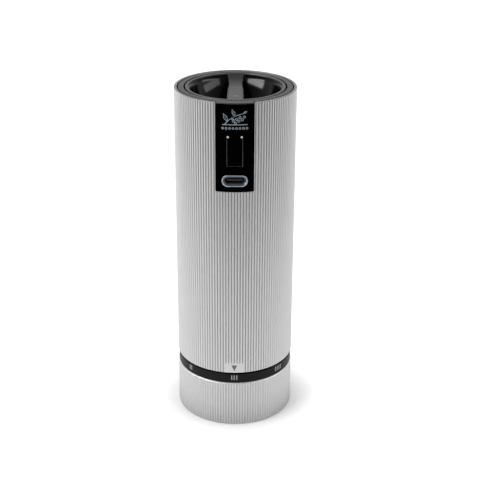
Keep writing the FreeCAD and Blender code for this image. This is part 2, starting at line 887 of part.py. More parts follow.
def involute_outline(teeth, first_tooth=0.0, internal=False):
    """The outline of a spur gear, or of the hole in a ring gear, about Z."""
    module = float(gear_module)
    pitch_radius = module * teeth / 2
    base_radius = pitch_radius * math.cos(pressure_angle)
    if internal:
        low, high = pitch_radius - 0.8 * module, pitch_radius + 1.1 * module
        half_tooth = (math.pi * module / 2 + backlash) / 2 / pitch_radius
    else:
        low, high = pitch_radius - 1.1 * module, pitch_radius + 0.85 * module
        half_tooth = (math.pi * module / 2 - backlash) / 2 / pitch_radius
    pitch_roll = math.tan(pressure_angle) - pressure_angle
    flank = []
    for step in range(5):
        radius = low + (high - low) * step / 4
        inside = min(1.0, base_radius / radius)
        roll = math.tan(math.acos(inside)) - math.acos(inside)
        flank.append((radius, half_tooth + pitch_roll - roll))
    points = []
    for tooth in range(teeth):
        middle = math.radians(first_tooth) + 2 * math.pi * tooth / teeth
        for radius, half in flank:
            points.append(Vector(radius * math.cos(middle - half), radius * math.sin(middle - half), 0))
        for radius, half in reversed(flank):
            points.append(Vector(radius * math.cos(middle + half), radius * math.sin(middle + half), 0))
    return Part.Face(Part.makePolygon(points + points[:1]))


def gear(teeth, bottom, top, first_tooth=0.0, internal=False):
    face = involute_outline(teeth, first_tooth, internal)
    face.translate(Vector(0, 0, float(bottom)))
    return shaped("Gear", face.extrude(Vector(0, 0, float(as_length(top) - bottom))))


sun = int(sun_teeth.value)
planet = int(planet_teeth.value)
ring_count = int(ring_teeth.value)
arm = gear_module * (sun_teeth + planet_teeth) / 2
stage_two_floor = Length(65.2)
planet_two_bottom = stage_two_floor + 2
planet_height = Length(4.2)
stage_one_floor = planet_two_bottom + planet_height + 0.4
planet_one_bottom = stage_one_floor + 1.8
housing_radius = Length(14.5)
cover_bottom = motor_bottom - 1

ring_gap = gear(ring_count, stage_two_floor, cover_bottom, 4.0, internal=True)
housing = turned("Housing", [
    (5.2, floor_top + 0.9),
    (housing_radius, floor_top + 0.9),
    (housing_radius, cover_bottom),
    (0, cover_bottom),
    (0, stage_two_floor - 0.1),
    (5.2, stage_two_floor - 0.1),
])
sub_part("gearbox_housing", cut(housing, ring_gap, cylinder(5.2, 0, cover_bottom - 1)))
sub_part("gearbox_cover", cut(
    cylinder(housing_radius, cover_bottom, motor_bottom),
    cylinder(3.2, cover_bottom - 1, motor_bottom + 1),
))

sub_part("motor_shaft", fuse(
    cylinder(spindle_radius, planet_one_bottom - 0.1, motor_top - 1.2),
    gear(sun, planet_one_bottom - 0.1, planet_one_bottom + planet_height + 0.1),
))

sub_part("first_carrier", fuse(
    cylinder(9, stage_one_floor, stage_one_floor + 1.5),
    gear(sun, planet_two_bottom - 0.1, stage_one_floor),
    *[
        cylinder(1.2, stage_one_floor, planet_one_bottom + planet_height, *[
            arm.value * math.cos(math.radians(angle)), arm.value * math.sin(math.radians(angle)),
        ])
        for angle in (0, 120, 240)
    ],
))
sub_part("output_carrier", cut(
    fuse(
        cylinder(9, stage_two_floor + 0.1, stage_two_floor + 1.7),
        cylinder(5, block_bottom - 0.8, stage_two_floor + 0.1),
        *[
            cylinder(1.2, stage_two_floor + 0.1, planet_two_bottom + planet_height, *[
                arm.value * math.cos(math.radians(angle)), arm.value * math.sin(math.radians(angle)),
            ])
            for angle in (0, 120, 240)
        ],
    ),
    block((-1.85, 1.85), (-1.85, 1.85), (0, square_top + 0.2)),
))


def planet_gear(bottom, angle):
    """A planet on its pin, first cut in mesh on the X axis and then carried round."""
    blank = gear(planet, bottom, bottom + planet_height, 180 / planet)
    bored = cut(blank, cylinder(1.25, 0, bottom + planet_height + 1))
    placed = document.addObject("Part::Compound", "Planet")
    placed.Links = [bored]
    carried = Rotation(Vector(0, 0, 1), angle)
    placed.Placement = Placement(carried.multVec(Vector(arm.value, 0, 0)), carried)
    return placed


for stage, bottom in (("first", planet_one_bottom), ("second", planet_two_bottom)):
    for number, angle in enumerate((0, 120, 240), start=1):
        sub_part("%s_planet_%d" % (stage, number), planet_gear(bottom, angle))


# --- Build, check and write ------------------------------------------------------

document.recompute()
for item in document.Objects:
    if "Invalid" in item.State or "Error" in item.State:
        raise RuntimeError("%s did not build" % item.Label)
os.makedirs("parts", exist_ok=True)
for item in sub_parts:
    shape = item.Shape
    if shape.isNull() or not shape.isValid() or not shape.Solids:
        raise RuntimeError("%s has no valid solid" % item.Label)
    shape.exportStep(os.path.join("parts", item.Label + ".step"))
    print("%-18s %2d solid(s) %9.1f mm3" % (item.Label, len(shape.Solids), shape.Volume))
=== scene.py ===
import math

import bmesh
import bpy
from mathutils import Matrix, Vector


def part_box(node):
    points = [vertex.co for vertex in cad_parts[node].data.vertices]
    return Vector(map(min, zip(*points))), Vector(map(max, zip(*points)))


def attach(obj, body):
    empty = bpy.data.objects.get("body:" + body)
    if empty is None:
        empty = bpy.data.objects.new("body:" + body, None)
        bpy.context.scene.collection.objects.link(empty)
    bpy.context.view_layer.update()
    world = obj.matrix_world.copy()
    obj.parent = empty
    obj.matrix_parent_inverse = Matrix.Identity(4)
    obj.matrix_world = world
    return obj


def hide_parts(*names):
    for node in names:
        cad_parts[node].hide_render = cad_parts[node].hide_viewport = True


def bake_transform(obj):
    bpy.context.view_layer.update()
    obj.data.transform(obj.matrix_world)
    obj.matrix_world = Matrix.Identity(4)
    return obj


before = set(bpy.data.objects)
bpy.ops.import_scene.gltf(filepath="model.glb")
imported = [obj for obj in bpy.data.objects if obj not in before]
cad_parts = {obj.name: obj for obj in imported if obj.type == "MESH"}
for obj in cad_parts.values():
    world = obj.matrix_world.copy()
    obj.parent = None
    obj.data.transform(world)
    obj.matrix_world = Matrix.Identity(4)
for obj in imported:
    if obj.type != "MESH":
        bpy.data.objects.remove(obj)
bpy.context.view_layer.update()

mm = 0.001


# The table is a wide pale sheet that also glows by itself, faintly close to the mill's foot
# and more further out: painted light, which keeps the table white and sets the size of the
# shadow round the base. The light is a plain white studio: an even sky that dims towards
# the front, and two long soft panels that stand to the sides.
class Wire:
    """A node's socket that is used in sums like a number."""

    def __init__(self, graph, socket):
        self.graph = graph
        self.socket = socket

    def maths(self, operation, *others):
        return self.graph.node("ShaderNodeMath", {"operation": operation}, [self, *others])

    def swapped(self, operation, other):
        return self.graph.node("ShaderNodeMath", {"operation": operation}, [other, self])

    def __add__(self, other):
        return self.maths("ADD", other)

    __radd__ = __add__

    def __sub__(self, other):
        return self.maths("SUBTRACT", other)

    def __rsub__(self, other):
        return self.swapped("SUBTRACT", other)

    def __mul__(self, other):
        return self.maths("MULTIPLY", other)

    __rmul__ = __mul__

    def __truediv__(self, other):
        return self.maths("DIVIDE", other)

    def __pow__(self, other):
        return self.maths("POWER", other)

    def output(self, key):
        return Wire(self.graph, self.socket.node.outputs[key])


class Graph:
    """A node tree that is written as expressions."""

    def __init__(self, tree):
        self.tree = tree

    def node(self, kind, settings=None, sockets=(), out=0):
        made = self.tree.nodes.new(kind)
        for name, value in (settings or {}).items():
            setattr(made, name, value)
        pairs = sockets.items() if isinstance(sockets, dict) else enumerate(sockets)
        for key, value in pairs:
            self.feed(made, key, value)
        return Wire(self, made.outputs[out])

    def feed(self, made, key, value):
        if isinstance(value, Wire):
            self.tree.links.new(value.socket, made.inputs[key])
        else:
            made.inputs[key].default_value = value


def table():
    reach, front = 3.0, -0.24
    mesh = bpy.data.meshes.new("table")
    corners = [(-reach, front, 0), (reach, front, 0), (reach, reach, 0), (-reach, reach, 0)]
    mesh.from_pydata(corners, [], [(0, 1, 2, 3)])
    paint = bpy.data.materials.new("table_white")
    paint.use_nodes = True
    shader = paint.node_tree.nodes["Principled BSDF"]
    shader.inputs["Base Color"].default_value = (0.93, 0.93, 0.93, 1)
    shader.inputs["Roughness"].default_value = 0.9
    graph = Graph(paint.node_tree)
    place = graph.node("ShaderNodeTexCoord", out="Object")
    away = graph.node("ShaderNodeVectorMath", {"operation": "LENGTH"}, [place], out=1)
    # Painted light: the table glows faintly within about 25 to 42 mm of the mill's axis and
    # brighter further out, which sets the shadow round the base.
    painted_glow = graph.node("ShaderNodeMapRange", {}, [away, 0.025, 0.042, 0.22, 0.8])
    graph.feed(shader, "Emission Color", painted_glow + away * 0.25)
    shader.inputs["Emission Strength"].default_value = 1.0
    mesh.materials.append(paint)
    top = bpy.data.objects.new("table", mesh)
    bpy.context.scene.collection.objects.link(top)


def studio():
    world = bpy.data.worlds.new("studio")
    bpy.context.scene.world = world
    world.use_nodes = True
    backdrop = world.node_tree.nodes["Background"]
    backdrop.inputs["Color"].default_value = (1, 1, 1, 1)
    sky = Graph(world.node_tree)
    heading = sky.node("ShaderNodeTexCoord", out="Generated")
    apart = sky.node("ShaderNodeSeparateXYZ", sockets=[heading])
    front = sky.node("ShaderNodeClamp", sockets=[apart.output("Y") * -1.0, 0.0, 1.0])
    height = sky.node("ShaderNodeClamp", sockets=[apart.output("Z"), 0.0, 1.0])
    sky.feed(backdrop, "Strength", (1.12 - front ** 1.2 * 1.02) * (1.0 - height ** 0.6 * 0.9))
    for name, side, near, power in (("left", -1, -0.46, 6.6), ("right", 1, -0.24, 2.1)):
        lamp = bpy.data.lights.new("softbox_" + name, "AREA")
        lamp.shape = "RECTANGLE"
        lamp.size = 0.8
        lamp.size_y = 0.22
        lamp.energy = power
        holder = bpy.data.objects.new("softbox_" + name, lamp)
        holder.location = (side * 0.76, near, 0.48)
        aim = Vector((0, 0, 0.1)) - holder.location
        holder.rotation_euler = aim.to_track_quat("-Z", "Y").to_euler()
        bpy.context.scene.collection.objects.link(holder)


def camera():
    lens = bpy.data.cameras.new("camera")
    lens.lens = 84.22
    lens.sensor_width = 36
    lens.clip_start = 0.01
    eye = bpy.data.objects.new("camera", lens)
    turn = Matrix.Rotation(math.radians(0.20), 4, "Z")
    tilt = Matrix.Rotation(math.radians(66.449), 4, "X")
    roll = Matrix.Rotation(math.radians(0.238), 4, "Z")
    place = Matrix.Translation((3.65 * mm, -441.18 * mm, 269.22 * mm))
    eye.matrix_world = place @ turn @ tilt @ roll
    bpy.context.scene.collection.objects.link(eye)
    bpy.context.scene.camera = eye
    bpy.context.scene.view_settings.view_transform = "Standard"


table()
studio()
camera()


# The base ring is extruded aluminium, fluted from end to end, chamfered at both ends
# and anodised a satin silver. It is glued to the moulded core that it turns with.
def finish(name, colour, metallic=0.0, roughness=0.5, **constants):
    """A new material, its graph and its shader."""
    made = bpy.data.materials.new(name)
    made.use_nodes = True
    shader = made.node_tree.nodes["Principled BSDF"]
    shader.inputs["Base Color"].default_value = (*colour, 1)
    shader.inputs["Metallic"].default_value = metallic
    shader.inputs["Roughness"].default_value = roughness
    for key, value in constants.items():
        shader.inputs[key.replace("_", " ")].default_value = value
    return made, Graph(made.node_tree), shader


def grain(graph, size, detail=3.0, stretch=(1, 1, 1)):
    """Noise over the piece, its spots about one size across, from 0 to 1."""
    place = graph.node("ShaderNodeTexCoord", out="Object")
    scaled = graph.node("ShaderNodeMapping", {}, {"Vector": place, "Scale": stretch})
    sockets = {"Vector": scaled, "Scale": 1 / size, "Detail": detail}
    return graph.node("ShaderNodeTexNoise", {}, sockets)


def relief(graph, shader, height, depth):
    """Raise the surface by a pattern, with its real depth in metres."""
    sockets = {"Strength": 1.0, "Distance": depth, "Height": height}
    graph.feed(shader, "Normal", graph.node("ShaderNodeBump", {}, sockets))


def mixed(graph, pattern, low, high):
    """A colour between two shades, by a pattern."""
    colours = {0: pattern, 6: (*low, 1), 7: (*high, 1)}
    return graph.node("ShaderNodeMix", {"data_type": "RGBA"}, colours, out=2)


def tint(graph, shader, pattern, low, high):
    """Let the base colour run between two shades with a pattern."""
    graph.feed(shader, "Base Color", mixed(graph, pattern, low, high))


def linked(name, mesh):
    piece = bpy.data.objects.new(name, mesh)
    bpy.context.scene.collection.objects.link(piece)
    return piece


def eased(points, steps=4):
    """A closed outline of (radius, height, rounding) corners in mm, with its corners rounded."""
    outline = []
    count = len(points)
    for i in range(count):
        here = Vector(points[i][:2])
        rounding = points[i][2] if len(points[i]) > 2 else 0
        if not rounding:
            outline.append(here)
            continue
        back = Vector(points[i - 1][:2]) - here
        on = Vector(points[(i + 1) % count][:2]) - here
        half = back.angle(on) / 2
        run = min(rounding / math.tan(half), back.length * 0.49, on.length * 0.49)
        start = here + back.normalized() * run
        end = here + on.normalized() * run
        for step in range(steps + 1):
            share = step / steps
            pulled = here * 2 * share * (1 - share)
            outline.append(start * (1 - share) ** 2 + pulled + end * share ** 2)
    return outline


def shaped(name, build):
    """The finished mesh of a build, its faces turned outwards, as a piece."""
    bmesh.ops.recalc_face_normals(build, faces=build.faces)
    mesh = bpy.data.meshes.new(name)
    build.to_mesh(mesh)
    build.free()
    return linked(name, mesh)


def turned(name, outline, columns=256):
    """A solid turned about Z from a closed outline in mm, which runs anticlockwise."""
    build = bmesh.new()
    rings = []
    for radius, height in outline:
        if radius < 1e-6:
            rings.append([build.verts.new((0, 0, height * mm))] * columns)
            continue
        rings.append([
            build.verts.new((
                radius * mm * math.sin(2 * math.pi * i / columns),
                -radius * mm * math.cos(2 * math.pi * i / columns),
                height * mm,
            ))
            for i in range(columns)
        ])
    for low, high in zip(rings, rings[1:] + rings[:1]):
        for i in range(columns):
            corners = (low[i], low[(i + 1) % columns], high[(i + 1) % columns], high[i])
            distinct = list(dict.fromkeys(corners))
            if len(distinct) > 2:
                build.faces.new(distinct)
    return shaped(name, build)


def settled(piece):
    """The piece as a plain mesh with its modifiers applied and its shading set."""
    weigh = piece.modifiers.new("weigh", "WEIGHTED_NORMAL")
    weigh.keep_sharp = True
    piece.data.shade_smooth()
    piece.data.set_sharp_from_angle(angle=math.radians(35))
    bpy.context.view_layer.update()
    whole = piece.evaluated_get(bpy.context.evaluated_depsgraph_get())
    mesh = bpy.data.meshes.new_from_object(whole)
    piece.modifiers.clear()
    piece.data = mesh
    mesh.name = piece.name
    return piece


def painted(piece, paint):
    piece.data.materials.clear()
    piece.data.materials.append(paint)
    return piece


def stands_for(piece, body, slot, *nodes):
    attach(piece, body)
    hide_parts(*nodes)


def anodised():
    """Blasted and anodised aluminium: a fine even sparkle, faint draw lines, no colour."""
    paint, graph, shader = finish("anodised_silver", (0.48, 0.48, 0.48), 0.85, 0.42)
    sparkle = grain(graph, 0.12 * mm)
    draw_lines = grain(graph, 0.6 * mm, stretch=(1, 1, 0.02))
    tint(graph, shader, draw_lines, (0.475, 0.475, 0.475), (0.485, 0.485, 0.485))
    graph.feed(shader, "Roughness", sparkle * 0.12 + 0.36)
    relief(graph, shader, sparkle, 0.0008 * mm)
    return paint


anodised_silver = anodised()
flute_count = 132
flute_steps = 8
flute_depth = 0.42
groove_share = 0.60
run_out = 0.8
pad_depth = 0.05


def fluting():
    """Geometry nodes that press evenly spaced upright grooves into a turned tube."""
    tree = bpy.data.node_groups.new("fluting", "GeometryNodeTree")
    tree.interface.new_socket("Geometry", in_out="INPUT", socket_type="NodeSocketGeometry")
    for name in (
        "Flutes", "Depth", "Groove Share", "Wall Radius", "Plain Half Angle", "Plain Top",
        "Run Out", "Pad Depth",
    ):
        tree.interface.new_socket(name, in_out="INPUT", socket_type="NodeSocketFloat")
    tree.interface.new_socket("Finish", in_out="INPUT", socket_type="NodeSocketMaterial")
    tree.interface.new_socket("Geometry", in_out="OUTPUT", socket_type="NodeSocketGeometry")
    graph = Graph(tree)
    given = graph.node("NodeGroupInput")
    place = graph.node("GeometryNodeInputPosition")
    apart = graph.node("ShaderNodeSeparateXYZ", {}, [place])
    x, y, z = apart, apart.output(1), apart.output(2)
    radius = (x * x + y * y).maths("SQRT")
    around = x.maths("ARCTAN2", y * -1.0)
    turns = around * given.output("Flutes") / (2 * math.pi)
    nearest = turns.maths("ROUND")
    across = (turns - nearest).maths("ABSOLUTE")
    swing = across * math.pi / given.output("Groove Share")
    cosine = swing.maths("MINIMUM", math.pi / 2).maths("COSINE")
    middle = (nearest * (2 * math.pi) / given.output("Flutes")).maths("ABSOLUTE")
    beside = middle.maths("GREATER_THAN", given.output("Plain Half Angle"))
    above = (z - given.output("Plain Top")) / given.output("Run Out")
    rise = above.maths("MAXIMUM", 0.0).maths("MINIMUM", 1.0)
    cutting = beside.maths("MAXIMUM", rise)
    sunk = (1.0 - cutting) * given.output("Pad Depth")
    cut = given.output("Depth") * cosine * cosine * cutting
    floor = given.output("Wall Radius") - cut - sunk
    pressed = radius.maths("MINIMUM", floor)
    shrink = pressed / radius
    moved = graph.node("ShaderNodeCombineXYZ", {}, [x * shrink, y * shrink, z])
    grooved = graph.node("GeometryNodeSetPosition", {}, {"Geometry": given, "Position": moved})
    whole = graph.node("GeometryNodeRealizeInstances", {}, [grooved])
    sockets = {"Geometry": whole, "Material": given.output("Finish")}
    coated = graph.node("GeometryNodeSetMaterial", {}, sockets)
    graph.feed(tree.nodes.new("NodeGroupOutput"), 0, coated)
    return tree


fluting_tree = fluting()


def node_modifier(piece, tree, **values):
    """Run a node tree on a piece, with its inputs set by their names."""
    run = piece.modifiers.new(tree.name, "NODES")
    run.node_group = tree
    for item in tree.interface.items_tree:
        name = item.name.replace(" ", "_")
        if item.in_out == "INPUT" and name in values:
            run[item.identifier] = values[name]
    piece.update_tag()


def fluted(piece, wall, plain_half_angle=-1.0, plain_top=0.0):
    node_modifier(
        piece, fluting_tree, Flutes=float(flute_count), Depth=flute_depth * mm,
        Groove_Share=groove_share, Wall_Radius=wall * mm, Plain_Half_Angle=plain_half_angle,
        Plain_Top=plain_top * mm, Run_Out=run_out * mm, Pad_Depth=pad_depth * mm,
        Finish=anodised_silver,
    )
    return piece


low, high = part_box("base_collar")
collar_bottom = low.z / mm
collar_top = high.z / mm
collar_radius = high.x / mm
wall_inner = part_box("base_core")[1].x / mm
base_ring = turned("base_ring_fluted", eased([
    (wall_inner, collar_bottom),
    (collar_radius, collar_bottom, 0.35),
    (collar_radius, collar_top - 0.3),
    (wall_inner, collar_top - 0.3),
], 3), flute_count * flute_steps)
settled(fluted(base_ring, collar_radius))


def chamfer_painted_highlight():
    """Chamfer metal painted far lighter than the anodised ring: a painted highlight along the
    edge, with fine turning lines.
    """
    paint, graph, shader = finish("cut_aluminium", (0.86, 0.86, 0.87), 0.7, 0.5)
    lines = grain(graph, 0.1 * mm, stretch=(0.05, 0.05, 1))
    tint(graph, shader, lines, (0.82, 0.82, 0.83), (0.90, 0.90, 0.91))
    graph.feed(shader, "Roughness", lines * 0.1 + 0.45)
    relief(graph, shader, lines, 0.001 * mm)
    return paint


chamfer = 0.32
rim_inner = collar_radius - 1.1
collar_rim = turned("collar_rim", [
    (rim_inner, collar_top - chamfer),
    (collar_radius - 0.02, collar_top - chamfer),
    (collar_radius - chamfer, collar_top),
    (rim_inner, collar_top),
], 360)
# The rim's light metal is a painted highlight on the collar's top chamfer.
painted(settled(collar_rim), chamfer_painted_highlight())
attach(collar_rim, "base_ring")
stands_for(base_ring, "base_ring", "fluted_aluminium", "base_collar")


# The body tube is the same extrusion, with a notch milled for the front panel and a
# plain pad left round the pointer, which is a small triangle filled with grey ink.
def cut_away(piece, *cutters):
    for cutter in cutters:
        carve = piece.modifiers.new("cut", "BOOLEAN")
        carve.operation = "DIFFERENCE"
        carve.solver = "EXACT"
        carve.object = cutter
    return piece


def brick(name, low, high):
    """A plain block between two corners in mm."""
    build = bmesh.new()
    bmesh.ops.create_cube(build, size=1)
    for vertex in build.verts:
        for axis in range(3):
            vertex.co[axis] = (high[axis] if vertex.co[axis] > 0 else low[axis]) * mm
    return shaped(name, build)


def discard(*pieces):
    for piece in pieces:
        bpy.data.objects.remove(piece)


low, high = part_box("outer_tube")
tube_bottom = low.z / mm
tube_top = high.z / mm
tube_radius = high.x / mm
tube_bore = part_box("inner_body")[1].x / mm
low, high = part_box("front_panel")
panel_half_width = high.x / mm
panel_bottom = low.z / mm
panel_top = high.z / mm
pad_half_width = 3.7
pad_top = tube_bottom + 4.4
run_out_rows = [(tube_radius, pad_top + step) for step in (-0.2, 0, 0.2, 0.4, 0.6, 0.8, 1.0)]
body_tube = turned("body_tube", eased([
    (tube_bore, tube_bottom, 0.1),
    (tube_radius, tube_bottom, 0.45),
    *run_out_rows,
    (tube_radius, tube_top, 0.25),
    (tube_bore, tube_top, 0.1),
], 3), flute_count * flute_steps)
settled(fluted(body_tube, tube_radius, math.asin(pad_half_width / tube_radius), pad_top))
notch_half_width = panel_half_width + 0.12
notch = brick(
    "notch",
    (-notch_half_width, -tube_radius - 5, panel_bottom - 0.15),
    (notch_half_width, 0, tube_top + 5),
)
settled(cut_away(body_tube, notch))
discard(notch)
stands_for(body_tube, "mill_body", "fluted_aluminium", "outer_tube")


def ink(name, colour):
    """Pad-printed ink: matt, with a slight mottle."""
    paint, graph, shader = finish(name, colour, 0.0, 0.6)
    mottle = grain(graph, 0.25 * mm)
    tint(graph, shader, mottle, [c * 0.85 for c in colour], [c * 1.15 for c in colour])
    relief(graph, shader, mottle, 0.005 * mm)
    return paint


painted(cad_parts["index_mark"], ink("pointer_ink", (0.10, 0.10, 0.10)))


# The setting band is a dark moulded ring pressed on above the base ring, with one to
# six bars printed at each of the six settings.
def moulded(name, colour, roughness=0.45, spots=0.25, depth=0.006, **constants):
    """Moulded plastic with a fine spark-eroded texture."""
    paint, graph, shader = finish(name, colour, 0.0, roughness, **constants)
    texture = grain(graph, spots * mm)
    tint(graph, shader, texture, [c * 0.85 for c in colour], [c * 1.15 for c in colour])
    graph.feed(shader, "Roughness", texture * 0.15 + (roughness - 0.07))
    relief(graph, shader, texture, depth * mm)
    return paint


low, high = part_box("setting_band")
band_radius = high.x / mm
setting_band = turned("setting_band_ring", eased([
    (band_radius - 1.5, low.z / mm),
    (band_radius, low.z / mm, 0.12),
    (band_radius, high.z / mm, 0.25),
    (band_radius - 1.5, high.z / mm),
]), 360)
band_black = moulded("band_black", (0.006, 0.006, 0.006), 0.42, Specular_IOR_Level=0.08)
painted(settled(setting_band), band_black)
stands_for(setting_band, "base_ring", "dark_band", "setting_band")
painted(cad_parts["setting_marks"], ink("setting_ink", (0.26, 0.26, 0.28)))


# The front panel is a curved strip of piano black moulding. It carries the emblem, the
# light lenses, the push button and the charging socket.
def piano_black():
    """Polished black moulding: deep, with a very faint ripple in its gloss."""
    black = (0.0004, 0.0004, 0.0005)
    paint, graph, shader = finish("piano_black", black, 0.0, 0.10, Specular_IOR_Level=0.012)
    ripple = grain(graph, 6 * mm, 2.0)
    haze = grain(graph, 1.2 * mm)
    graph.feed(shader, "Roughness", haze * 0.05 + 0.06)
    relief(graph, shader, ripple, 0.01 * mm)
    return paint


gloss_black = piano_black()
face_radius = tube_radius - 0.04


def wrapped(piece):
    """Bend a flat piece, laid out in X and Z, round the tube. Y is its depth from the face."""
    for vertex in piece.data.vertices:
        angle = vertex.co.x / (tube_radius * mm)
        reach = face_radius * mm - vertex.co.y
        vertex.co.x = reach * math.sin(angle)
        vertex.co.y = -reach * math.cos(angle)
    piece.data.update()
    return piece


def plate(name, half_width, bottom, top, thickness, columns, rows):
    """A flat slab of even squares, its face at Y = 0, in mm."""
    build = bmesh.new()
    bmesh.ops.create_grid(build, x_segments=columns, y_segments=rows, size=0.5)
    for vertex in build.verts:
        height = bottom + (vertex.co.y + 0.5) * (top - bottom)
        vertex.co = Vector((vertex.co.x * 2 * half_width, 0, height)) * mm
    raised = bmesh.ops.extrude_face_region(build, geom=list(build.faces))
    for item in raised["geom"]:
        if isinstance(item, bmesh.types.BMVert):
            item.co.y += thickness * mm
    return shaped(name, build)


def slot_outline(half_length, half_height, steps=16):
    """Points of a slot with round ends, as (across, up), anticlockwise from the right."""
    reach = half_length - half_height
    points = []
    for side in (1, -1):
        for step in range(steps + 1):
            angle = math.pi * (step / steps - 0.5) + (0 if side > 0 else math.pi)
            across = side * reach + half_height * math.cos(angle)
            points.append((across, half_height * math.sin(angle)))
    return points


def skinned(build, rings):
    """Faces from each closed ring of vertices to the next."""
    count = len(rings[0])
    for near, far in zip(rings, rings[1:]):
        for i in range(count):
            j = (i + 1) % count
            build.faces.new((near[i], near[j], far[j], far[i]))


def bar_solid(name, outline, near, far, x=0.0, z=0.0):
    """A straight bar along Y from an outline of (across, up) points in mm."""
    build = bmesh.new()
    front = [build.verts.new(((x + a) * mm, near * mm, (z + b) * mm)) for a, b in outline]
    back = [build.verts.new(((x + a) * mm, far * mm, (z + b) * mm)) for a, b in outline]
    build.faces.new(front)
    build.faces.new(back[::-1])
    skinned(build, [front, back])
    return shaped(name, build)


def round_outline(radius, steps=32):
    return [
        (radius * math.cos(2 * math.pi * i / steps), radius * math.sin(2 * math.pi * i / steps))
        for i in range(steps)
    ]


def softened(piece, width, segments=3):
    bevel = piece.modifiers.new("soften", "BEVEL")
    bevel.width = width * mm
    bevel.segments = segments
    bevel.limit_method = "ANGLE"
    bevel.angle_limit = math.radians(40)
    return piece


def arc_length(chord):
    """How far a flat piece reaches to cover a chord once it is bent round the tube."""
    return tube_radius * math.asin(chord / tube_radius)


low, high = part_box("button_tongue")
tongue_half_width = high.x / mm
tongue_bottom = low.z / mm
tongue_top = high.z / mm
slit = 0.28
low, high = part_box("usb_trim_ring")
port_height = (low.z + high.z) / 2 / mm
port_half_width = high.x / mm
port_half_height = (high.z - low.z) / 2 / mm
low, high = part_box("indicator_lenses")
lens_height = (low.z + high.z) / 2 / mm
lens_radius = (high.z - low.z) / 2 / mm
lens_spread = high.x / mm - lens_radius
panel_thickness = 1.55

panel = plate(
    "front_panel_shell", arc_length(panel_half_width), panel_bottom, panel_top + 0.4,
    panel_thickness, 40, 24,
)
port_outline = slot_outline(arc_length(port_half_width), port_half_height)
lens_outline = round_outline(lens_radius)
panel_cutters = [
    brick(
        "tongue_hole",
        (-tongue_half_width - slit, -3, tongue_bottom - slit),
        (tongue_half_width + slit, 5, tongue_top + 0.1),
    ),
    bar_solid("port_hole", port_outline, -3, 5, z=port_height),
    bar_solid("lens_hole", lens_outline, -3, 5, x=-lens_spread, z=lens_height),
    bar_solid("lens_hole", lens_outline, -3, 5, x=lens_spread, z=lens_height),
]
settled(cut_away(panel, *panel_cutters))
discard(*panel_cutters)
wrapped(settled(softened(panel, 0.07)))
painted(panel, gloss_black)
stands_for(panel, "motor_block", "piano_black", "front_panel")

tongue = plate(
    "push_button", tongue_half_width, tongue_bottom, tongue_top, panel_thickness, 16, 12,
)
wrapped(settled(softened(tongue, 0.08)))
painted(tongue, gloss_black)
stands_for(tongue, "button", "piano_black", "button_tongue")


# The button is a tongue with a slit down both sides and under it. Thin grey strips sit in
# the slit as a painted highlight, for the light that the slit's edges catch.
def joined(name, pieces):
    """Several pieces made into one mesh, in the order given."""
    build = bmesh.new()
    for piece in pieces:
        build.from_mesh(piece.data)
    mesh = bpy.data.meshes.new(name)
    build.to_mesh(mesh)
    build.free()
    for material in pieces[0].data.materials:
        mesh.materials.append(material)
    discard(*pieces)
    return linked(name, mesh)


def slit_highlight_strips():
    reach = tongue_half_width + slit - 0.08
    low_edge = tongue_bottom - slit + 0.07
    foot = low_edge - 0.07
    strips = [
        brick("web", (side * reach - 0.08, 0.1, foot), (side * reach + 0.08, 1.2, tongue_top))
        for side in (-1, 1)
    ]
    strips.append(brick("web", (-reach, 0.2, foot), (reach, 1.2, low_edge + 0.05)))
    return joined("button_web", strips)


# The strips' grey is a painted highlight along the slit's edges.
web_grey = moulded("web_grey", (0.10, 0.10, 0.105), 0.5)
button_web = painted(wrapped(slit_highlight_strips()), web_grey)
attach(button_web, "motor_block")


# Two clear light pipes shine through the panel above the button. Each is a short rod
# with a domed end, lit white from behind.
def light_pipe():
    paint, graph, shader = finish("light_pipe", (0.5, 0.5, 0.5), 0.0, 0.25)
    shader.inputs["Emission Strength"].default_value = 0.12
    mottle = grain(graph, 0.3 * mm)
    graph.feed(shader, "Emission Color", mixed(graph, mottle, (0.8, 0.8, 0.82), (1, 1, 1)))
    return paint


pipes = []
pipe_outline = round_outline(lens_radius - 0.05)
for side in (-1, 1):
    pipe = bar_solid("pipe", pipe_outline, 0.02, 1.4, x=side * lens_spread, z=lens_height)
    pipes.append(wrapped(settled(softened(pipe, 0.12, 4))))
lenses = painted(joined("light_pipes", pipes), light_pipe())
lenses.data.shade_smooth()
stands_for(lenses, "motor_block", "lens", "indicator_lenses")


# The emblem is a sprig of pepper on a ground line above a row of round grains, foil
# printed in a cool silver. It is a plain sign for what goes in the mill.
def foil():
    """Cool silver foil, brushed very lightly."""
    paint, graph, shader = finish("silver_foil", (0.30, 0.36, 0.42), 0.55, 0.38)
    brushed = grain(graph, 0.3 * mm, stretch=(0.2, 1, 1))
    tint(graph, shader, brushed, (0.24, 0.30, 0.36), (0.38, 0.44, 0.50))
    relief(graph, shader, brushed, 0.003 * mm)
    return paint


foil_height = 0.03
foil_line = 0.26
emblem_low = 136.4
stem_points = [(-3.9, 0.3), (-2.6, 1.7), (-0.9, 3.0), (1.2, 3.9), (3.4, 4.5)]
stem_widths = [0.42, 0.36, 0.32, 0.28, 0.2]
leaves = [
    (-2.9, 1.4, 118, 3.6), (0.0, 3.5, 112, 3.0), (3.2, 4.5, 28, 1.9), (-1.6, 2.5, -14, 1.6),
]
berry_places = [
    (-0.6, 1.5), (0.7, 2.2), (2.0, 2.9), (0.3, 0.7), (1.6, 1.5), (2.9, 2.0), (3.7, 3.1),
]
berry_radius = 0.56


def ribbon(points, widths):
    """An outline that follows a line of points at a width that changes along it."""
    left, right = [], []
    for i, point in enumerate(points):
        ahead = Vector(points[min(i + 1, len(points) - 1)])
        behind = Vector(points[max(i - 1, 0)])
        along = (ahead - behind).normalized()
        side = Vector((-along.y, along.x)) * widths[i] / 2
        left.append(Vector(point) + side)
        right.append(Vector(point) - side)
    return left + right[::-1]


